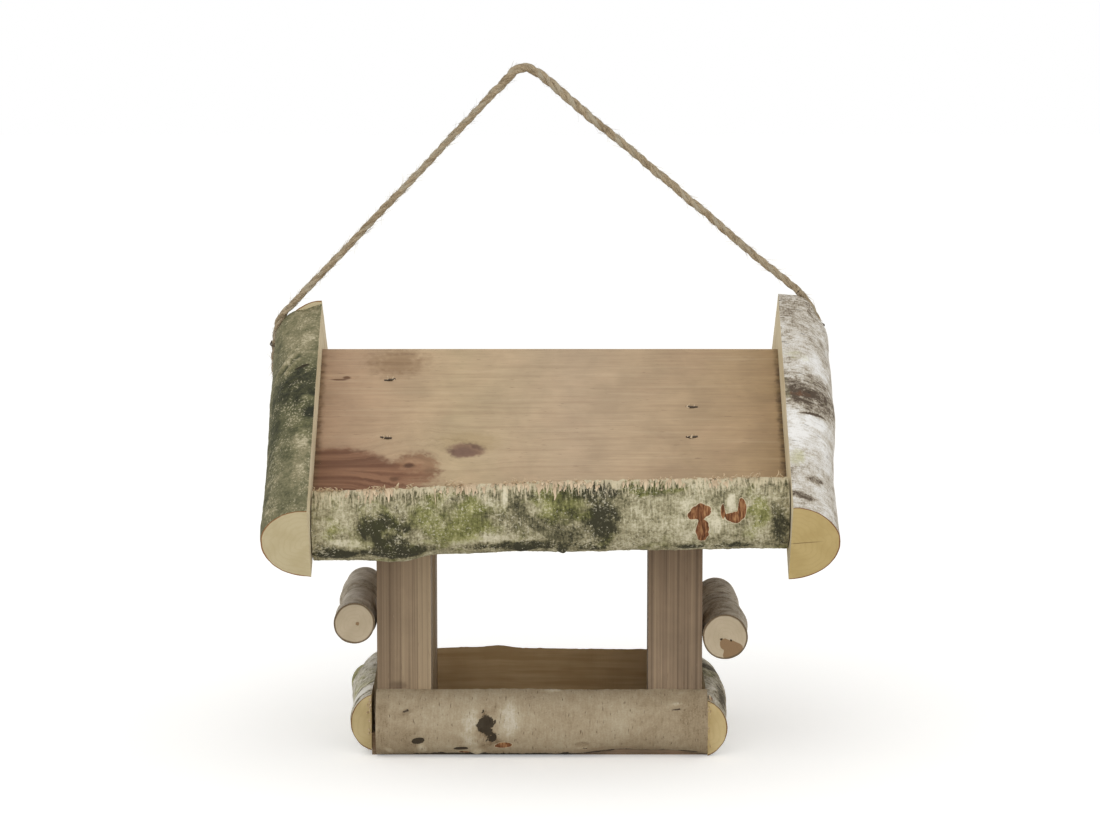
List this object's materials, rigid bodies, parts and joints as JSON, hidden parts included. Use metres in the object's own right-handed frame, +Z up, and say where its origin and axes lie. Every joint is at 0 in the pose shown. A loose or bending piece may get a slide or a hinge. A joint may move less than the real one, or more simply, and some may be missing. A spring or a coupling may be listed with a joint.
{
  "type": "bird table",
  "caption": "Hanging bird table of split birch logs: a gabled roof on square posts over a log-edged floor, with side perches and a twine loop.",
  "frame": {"origin": "on the surface the base stands on, under the middle of the roof", "axes": "+X to the right along the ridge, +Y from the front to the back, +Z up"},
  "size_m": [0.3093, 0.267, 0.3694],
  "materials": {
    "board": "planed softwood, oiled and weathered",
    "post": "planed softwood, grey brown",
    "birch_bark": "birch bark with moss and lichen",
    "smooth_bark": "smooth young birch bark",
    "perch_bark": "thin brown bark",
    "wire": "dulled galvanised wire",
    "twine": "twisted jute"
  },
  "bodies": {
    "house": {"floor_board": "board", "front_roof_board": "board", "rear_roof_board": "board", "front_left_post": "post", "front_right_post": "post", "rear_left_post": "post", "rear_right_post": "post", "front_tray_log": "smooth_bark", "rear_tray_log": "smooth_bark", "left_tray_log": "birch_bark", "right_tray_log": "birch_bark", "left_perch": "perch_bark", "right_perch": "perch_bark", "front_left_gable_log": "birch_bark", "front_right_gable_log": "birch_bark", "rear_left_gable_log": "birch_bark", "rear_right_gable_log": "birch_bark", "front_eave_log": "birch_bark", "rear_eave_log": "birch_bark", "front_roof_staples": "wire", "rear_roof_staples": "wire", "front_tray_staples": "wire", "rear_tray_staples": "wire", "left_tray_brads": "wire", "right_tray_brads": "wire", "floor_brads": "wire", "left_perch_brads": "wire", "right_perch_brads": "wire", "left_gable_brads": "wire", "right_gable_brads": "wire", "front_eave_brads": "wire", "rear_eave_brads": "wire", "left_twine_staple": "wire", "right_twine_staple": "wire", "left_twine_end": "twine", "right_twine_end": "twine"},
    "hanger": {"hanging_twine": "twine"}
  },
  "joints": [
    {"name": "hanger_swing", "type": "hinge", "parent": "house", "child": "hanger", "pos_m": [-0.1432, 0, 0.2372], "axis": [0.9994, 0, 0.0344], "range_deg": [-80, 80]}
  ]
}
